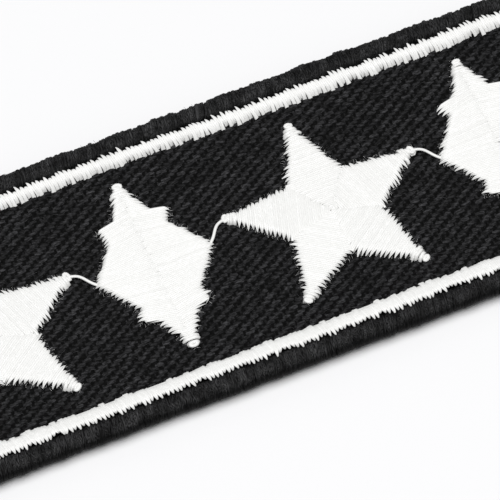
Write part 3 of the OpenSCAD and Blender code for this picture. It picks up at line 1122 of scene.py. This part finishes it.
# %% [markdown]
# ## The twill
# In this twill each weft yarn, or pick, lies along the patch. It floats over two warp
# yarns, or ends, and dives under the third, and each row starts about one end further
# on. That one step is what draws the slanting ribs. Where the weft is under, the warp
# shows as a short bump, and a small dark hole is left beside it. So two small domes
# are copied here: a long one for a float and a short one for a crossing. Those that
# the ornaments hide are left out.

# %% Weave the floats and the crossings
END_SPACING = 0.528
PICK_SPACING = 0.301
ROW_STEP = 0.509
YARN_REPEAT = 3 * END_SPACING
# How far the weave goes on under the white line, and the share of an ornament that hides it
UNDER_LINE = 0.35
HIDDEN_SHARE = 0.88
# Columns: length, width, height, rows of points along the bump, points in each
FLOAT_YARN = (0.94, 0.43, 0.19, 6, 5)
CROSSING_YARN = (0.4, 0.28, 0.1, 4, 4)
# How much narrower a bump is at its ends, what share of its height is sunk in the cloth,
# and how round it is across
END_TAPER, SUNK_SHARE, ROUND_POWER = 0.15, 0.3, 0.5
# Random spread of a bump's place, turn and size, each along X, Y and Z
PLACE_SPREAD = (0.05, 0.02, 0.025)
TURN_SPREAD = (0.15, 0.06, 0.06)
SIZE_SPREAD = (0.08, 0.1, 0.15)


def yarn_dome(name, yarn, material):
    """One bump of yarn, centred on the origin and lying along X. Its ends dive under."""
    length, width, height, stations, ribs = yarn
    along = np.sin(np.linspace(-1, 1, stations) * math.pi / 2)
    turn = np.linspace(0, math.pi, ribs)
    points = [(a * length / 2, -math.cos(t) * width / 2 * (1 - END_TAPER * a * a),
               height * (math.sin(t) ** ROUND_POWER - SUNK_SHARE - abs(a) ** DIVE_POWER))
              for a in along for t in turn]
    faces = [(s * ribs + r, (s + 1) * ribs + r, (s + 1) * ribs + r + 1, s * ribs + r + 1)
             for s in range(stations - 1) for r in range(ribs - 1)]
    return mesh_piece(name, points, faces, material)


def inside(points, outline):
    """Which points lie inside an outline."""
    found = np.zeros(len(points), bool)
    for (x1, y1), (x2, y2) in zip(outline, np.roll(outline, -1, axis=0)):
        spans = (y1 > points[:, 1]) != (y2 > points[:, 1])
        meets = x1 + (points[:, 1] - y1) * (x2 - x1) / (y2 - y1 if y2 != y1 else NEXT_TO_NOTHING)
        found ^= spans & (points[:, 0] < meets)
    return found


def weave_places(shift, up=0.0):
    """The middles of all bumps that show, moved along their rows by a shift and across them by up."""
    field = border_size[:2] / 2 - BORDER_W + UNDER_LINE
    places = []
    for number, y in enumerate(np.arange(-field[1], field[1], PICK_SPACING)):
        x = np.arange(-field[0] + (number * ROW_STEP + shift) % YARN_REPEAT, field[0], YARN_REPEAT)
        places.append(np.column_stack([x, np.full(len(x), y + up)]))
    places = np.concatenate(places)
    for outline in OUTLINES.values():
        middle = outline.mean(axis=0)
        places = places[~inside(places, middle + (outline - middle) * HIDDEN_SHARE)]
    return places


def weave(name, yarn, shift, up, turn, seed, material):
    """Copies one dome onto all its places, each a little different."""
    places = weave_places(shift, up)
    count = len(places)
    points = at_height(places, GROUND_TOP - YARN_DEPTH) + rng.normal(0, 1, (count, 3)) * PLACE_SPREAD
    turns = rng.normal(0, 1, (count, 3)) * TURN_SPREAD + (0, 0, turn)
    sizes = 1 + rng.normal(0, 1, (count, 3)) * SIZE_SPREAD
    print(count, "places for", name)
    return scatter(name, yarn_dome(name + "_copy", yarn, material), points, turns, sizes, seed, material)


floats = weave("twill_floats", FLOAT_YARN, shift=0.0, up=0.0, turn=0.03, seed=3, material=cotton_twill)
crossings = weave("twill_crossings", CROSSING_YARN, shift=YARN_REPEAT / 2, up=-0.08, turn=math.pi / 2,
                  seed=6, material=shaded_twill)

# %% [markdown]
# ## Loose fibres
# Spun cotton and textured thread are never clean: short fibres stand out of them and
# catch the light as small pale specks. Rayon is smoother, but where its thread dives
# through the cloth some filaments break and make a faint fuzz along the edges. Each
# one here is a short, bent hair, laid by the same sweep as the threads.

# %% Lay the loose fibres
FIBRE_POINTS = 4
FIBRE_BEND = 0.4
FIBRE_ARCH = 0.04
# The share of the weave's places that has a fibre, and how far a place lies from the next
# along the binding and along an ornament's outline
FIBRE_SHARE = 0.3
BINDING_FIBRE_STEP, FUZZ_STEP = 0.16, 0.22
# How far along from the floats' middles the places on the twill lie
FIBRE_SHIFT = 0.2
# How far the binding's rounded top has fallen at both its sides, and how late it falls
TOP_FALL, TOP_POWER = 0.5, 4
# Where fibres stand: below the twill's top, in from the patch's edge, above the cloth at
# an ornament's outline, and at most this far inside it
FIBRE_DEPTH = 0.03
BINDING_FIBRES = (0.8, 1.8)
FUZZ_HEIGHT, FUZZ_INSIDE = 0.12, 0.35


def loose_fibres(name, places, heading, spread, lengths, thick, material):
    """Short, slightly bent hairs on a surface, from places on and turned roughly to a heading."""
    count = len(places)
    turns = heading + rng.normal(0, spread, count)
    bends = rng.normal(0, FIBRE_BEND, count)
    lengths = rng.uniform(*lengths, count)
    steps = np.linspace(0, 1, FIBRE_POINTS)
    chains = []
    for start, turn, bend, length in zip(places, turns, bends, lengths):
        ways = turn + bend * steps
        step = length / (FIBRE_POINTS - 1)
        flat = np.cumsum(np.column_stack([np.cos(ways), np.sin(ways)]) * step, axis=0)
        chains.append(np.column_stack([start[:2] + flat, start[2] + FIBRE_ARCH * np.sin(steps * math.pi)]))
    return grow(name, seed_object(name, chains), plain_thread, Width=thick, Thickness=thick, Sides=3,
                Material=material)


def along_outline(outline, spacing):
    """Places along a clockwise outline, and the heading straight out of it at each."""
    places, headings = [], []
    for start, end in zip(outline, np.roll(outline, -1, axis=0)):
        run = end - start
        length = np.linalg.norm(run)
        steps = np.arange(spacing / 2, length, spacing)[:, None] / length
        places.append(start + steps * run)
        headings.append(np.full(len(steps), math.atan2(run[0], -run[1])))
    return np.concatenate(places), np.concatenate(headings)


weave_spots = weave_places(FIBRE_SHIFT)
weave_spots = weave_spots[rng.uniform(0, 1, len(weave_spots)) < FIBRE_SHARE]
ground_fibres = loose_fibres(
    "ground_fibres", at_height(weave_spots, GROUND_TOP - FIBRE_DEPTH), heading=0.1, spread=0.4,
    lengths=(0.2, 0.6), thick=0.03, material=cotton_fibre)
edge_spots, edge_outs = walk_round(PATCH_SIZE[0], PATCH_SIZE[1], CORNER_R, BINDING_FIBRE_STEP)
edge_in = rng.uniform(*BINDING_FIBRES, len(edge_spots))
edge_height = PATCH_HIGH[2] - TOP_FALL * abs(edge_in / (BINDING_W / 2) - 1) ** TOP_POWER
edge_fibres = loose_fibres(
    "edge_fibres", np.column_stack([edge_spots - edge_outs * edge_in[:, None], edge_height]),
    heading=np.arctan2(edge_outs[:, 1], edge_outs[:, 0]) + WRAP_LEAN, spread=0.3,
    lengths=(0.2, 0.6), thick=0.03, material=cotton_fibre)
ornament_fuzz = {}
for node, outline in OUTLINES.items():
    fuzz_places, fuzz_headings = along_outline(outline[::-1], FUZZ_STEP)
    fuzz_ways = np.column_stack([np.cos(fuzz_headings), np.sin(fuzz_headings)])
    fuzz_places = fuzz_places - rng.uniform(0.0, FUZZ_INSIDE, (len(fuzz_places), 1)) * fuzz_ways
    ornament_fuzz[node] = loose_fibres(
        node + "_fuzz", at_height(fuzz_places, GROUND_TOP + FUZZ_HEIGHT), heading=fuzz_headings,
        spread=0.35, lengths=(0.15, 0.4), thick=0.016, material=white_rayon)

# %% [markdown]
# ## The hooks
# Hook tape is woven with loops of nylon filament, which are set by heat and cut on one
# side, so each leaves a small hook. The rows face one way and then the other, so that
# the patch holds whichever way it is pulled.

# %% Set the hooks
HOOK_ROW = 1.2
HOOK_STEP = 1.1
# Least distance of a hook's foot from the field's ends and from its long edges, before
# its random spread
HOOK_MARGIN = np.array((0.7, 0.25))
# Rows stand this much to one side and the other by turns
ROW_SHIFT = 0.25
# Random spread of a hook's place, of its tilt and of the way it faces
FOOT_SPREAD, TILT_SPREAD, FACING_SPREAD = 0.04, 0.02, 0.15
# A hook is a little shorter than the field is high, so that none stands past it
HOOK_SIZE = (1.0, 1.0, 0.96)
FILAMENT = 0.2
HOOK_SIDES = 5
# Columns: share of the hook's height above its foot, distance the hook has turned over
HOOK_SHAPE = (
    (0.0, 0.0), (-0.45, 0.0), (-0.75, 0.04), (-0.92, 0.16), (-0.9, 0.34), (-0.72, 0.44), (-0.56, 0.42))


def hook_copy(height):
    """One hook that hangs down from the origin and turns over towards +X."""
    deepest = -min(up for up, over in HOOK_SHAPE)
    line = np.array([(over, 0, up * (height - FILAMENT / 2) / deepest) for up, over in HOOK_SHAPE])
    ahead = np.gradient(line, axis=0)
    ahead /= np.linalg.norm(ahead, axis=1)[:, None]
    turn = np.arange(HOOK_SIDES) * 2 * math.pi / HOOK_SIDES
    sideways = np.array((0, 1, 0))
    points = [p + FILAMENT / 2 * (math.cos(t) * np.cross(sideways, a) + math.sin(t) * sideways)
              for p, a in zip(line, ahead) for t in turn]
    faces = bands(len(line), HOOK_SIDES) + end_caps(len(line), HOOK_SIDES)
    return mesh_piece("hook_copy", points, faces, hook_nylon)


hook_size = HOOKS_HIGH - HOOKS_LOW
steps, rows = ((hook_size[:2] - 2 * HOOK_MARGIN) / (HOOK_STEP, HOOK_ROW)).astype(int) + 1
hook_points = np.array([
    ((i - (steps - 1) / 2) * HOOK_STEP + (ROW_SHIFT if j % 2 else -ROW_SHIFT),
     (j - (rows - 1) / 2) * HOOK_ROW, HOOKS_HIGH[2])
    for j in range(rows) for i in range(steps)])
count = len(hook_points)
hook_points[:, :2] += rng.normal(0, FOOT_SPREAD, (count, 2))
facing = np.repeat(np.arange(rows) % 2, steps) * math.pi
hook_turns = np.column_stack([
    rng.normal(0, TILT_SPREAD, (count, 2)), facing + rng.normal(0, FACING_SPREAD, count)])
hooks = scatter("hooks", hook_copy(hook_size[2]), hook_points, hook_turns,
                np.full((count, 3), HOOK_SIZE), seed=4, material=hook_nylon)
print(count, "hooks")

# %% [markdown]
# ## Jump threads
# When the machine moves on to the next ornament without a cut, it leaves a thread
# lying across the cloth. These jumps are short and slightly slack, so they arch.

# %% Lay the jump threads
JUMP_POINTS = 16
JUMP_WIDTH, JUMP_THICK = 0.3, 0.22
# How far a jump bows aside, how high it lies at its ends and how much it rises between
JUMP_BOW, JUMP_FOOT, JUMP_RISE = 0.3, 0.12, 0.18
# How much of its bow lies near its start rather than its end, and how flat its arch is
BOW_EARLY, ARCH_POWER = 0.5, 0.7
# How far inside a star's tip it starts and inside a lozenge's side corner it ends
STAR_INSIDE, LOZENGE_INSIDE = 0.7, 0.5
# Columns: star, lozenge, the side of the star on which the lozenge stands
JUMPS = (("star_left", "lozenge_left", 1), ("star_middle", "lozenge_left", -1),
         ("star_middle", "lozenge_right", 1), ("star_right", "lozenge_right", -1))


def jump(start, end, bow):
    """A slack thread from one point to another: it bows aside, most near its start, and arches."""
    share = np.linspace(0, 1, JUMP_POINTS)[:, None]
    way = end - start
    aside = np.array((-way[1], way[0])) / np.linalg.norm(way)
    sway = np.sin(share * math.pi) + BOW_EARLY * np.sin(share * 2 * math.pi)
    flat = start + share * way + bow * sway * aside
    arch = np.sin(share * math.pi) ** ARCH_POWER * (0, 0, JUMP_RISE)
    return at_height(flat, GROUND_TOP + JUMP_FOOT) + arch


def jump_path(star, lozenge, hand):
    """The strand between a star and the lozenge beside it. Both its ends lie under satin."""
    centre, reach = star_size(star)
    angle = math.radians(90 - POINT_TURN * hand)
    tip = centre + (reach - STAR_INSIDE) * np.array((math.cos(angle), math.sin(angle)))
    outline = lozenge_outline(lozenge)
    corner = outline.mean(axis=0) + (-hand * (np.ptp(outline[:, 0]) / 2 - LOZENGE_INSIDE), 0)
    return jump(tip, corner, JUMP_BOW * hand)


jumps = [jump_path(*row) for row in JUMPS]
jump_seed = seed_object("jump_threads", jumps, strand=np.repeat(rng.uniform(0, 1, len(jumps)), JUMP_POINTS))
jump_threads = grow("jump_threads", jump_seed, plain_thread, Width=JUMP_WIDTH, Thickness=JUMP_THICK,
                    Sides=8, Material=white_rayon)

# %% [markdown]
# ## The floor and the light
# The patch lies on a plain white table in a bright room: a little light comes from
# everywhere, and most of it from one large, soft lamp overhead. The white is nearly
# burnt out, and the shadow round the edge, which stands clear of the table, is soft.

# %% Light the patch
TABLE_HALF = 1500
CORNERS = ((-1, -1), (1, -1), (1, 1), (-1, 1))

# A painted table is matt and even, so it shows no more than the soft shadow.
white_table, table_tree = new_material("white_table")
table_paint = add_node(table_tree, "ShaderNodeBsdfPrincipled", {
    "Base Color": linear("#eeeeef"), "Roughness": 0.8})
add_node(table_tree, "ShaderNodeOutputMaterial", {"Surface": table_paint})
floor = mesh_piece("floor", [(x * TABLE_HALF, y * TABLE_HALF, 0) for x, y in CORNERS], [(0, 1, 2, 3)],
                   white_table, smooth=False)

world = bpy.data.worlds.new("bright_room")
world.use_nodes = True
world.node_tree.nodes.clear()
room = add_node(world.node_tree, "ShaderNodeBackground", {"Color": (1.0, 1.0, 1.0, 1.0), "Strength": 0.2})
add_node(world.node_tree, "ShaderNodeOutputWorld", {"Surface": room})
bpy.context.scene.world = world


def soft_light(name, place, size, watts):
    """A square lamp that faces the patch."""
    data = bpy.data.lights.new(name, "AREA")
    data.size = size * MM
    data.energy = watts
    lamp = bpy.data.objects.new(name, data)
    lamp.location = Vector(place) * MM
    lamp.rotation_mode = "QUATERNION"
    lamp.rotation_quaternion = lamp.location.normalized().to_track_quat("Z", "Y")
    bpy.context.scene.collection.objects.link(lamp)
    return lamp


softbox = soft_light("softbox_above", (-30, -80, 1200), 1000, 16.6)
bpy.context.scene.view_settings.view_transform = "Standard"
print("lit by", world.name, "and", softbox.name)

# %% [markdown]
# ## Join the pieces to the frame
# Each piece rides on the patch's one body. A piece that stands for a solid hides that solid.

# %% Ride and replace
# Columns: piece, nodes that it stands for, finish
DRESS = [
    (ground_sheet, ["twill_ground"], "black_twill"),
    (floats, [], "black_twill"),
    (crossings, [], "black_twill"),
    (ground_fibres, [], "black_twill"),
    (edge_fibres, [], "black_thread"),
    (edge_wraps, ["edge_binding"], "black_thread"),
    (edge_core, [], "black_thread"),
    (border_satin, ["inner_border"], "white_thread"),
    (tip_loops, [], "white_thread"),
    (tip_curls, [], "white_thread"),
    (jump_threads, [], "white_thread"),
    (tape_sheet, ["hook_tape"], "black_tape"),
    (hooks, ["hook_field"], "hook_nylon"),
]
DRESS += [(piece, [node], "white_thread") for node, piece in {**star_satin, **lozenge_satin}.items()]
DRESS += [(piece, [], "white_thread") for piece in (*padding_pieces, *ornament_fuzz.values())]
for piece, nodes, finish in DRESS:
    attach(piece, "root")
    if nodes:
        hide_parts(*nodes)

print(len(DRESS), "pieces on the patch")
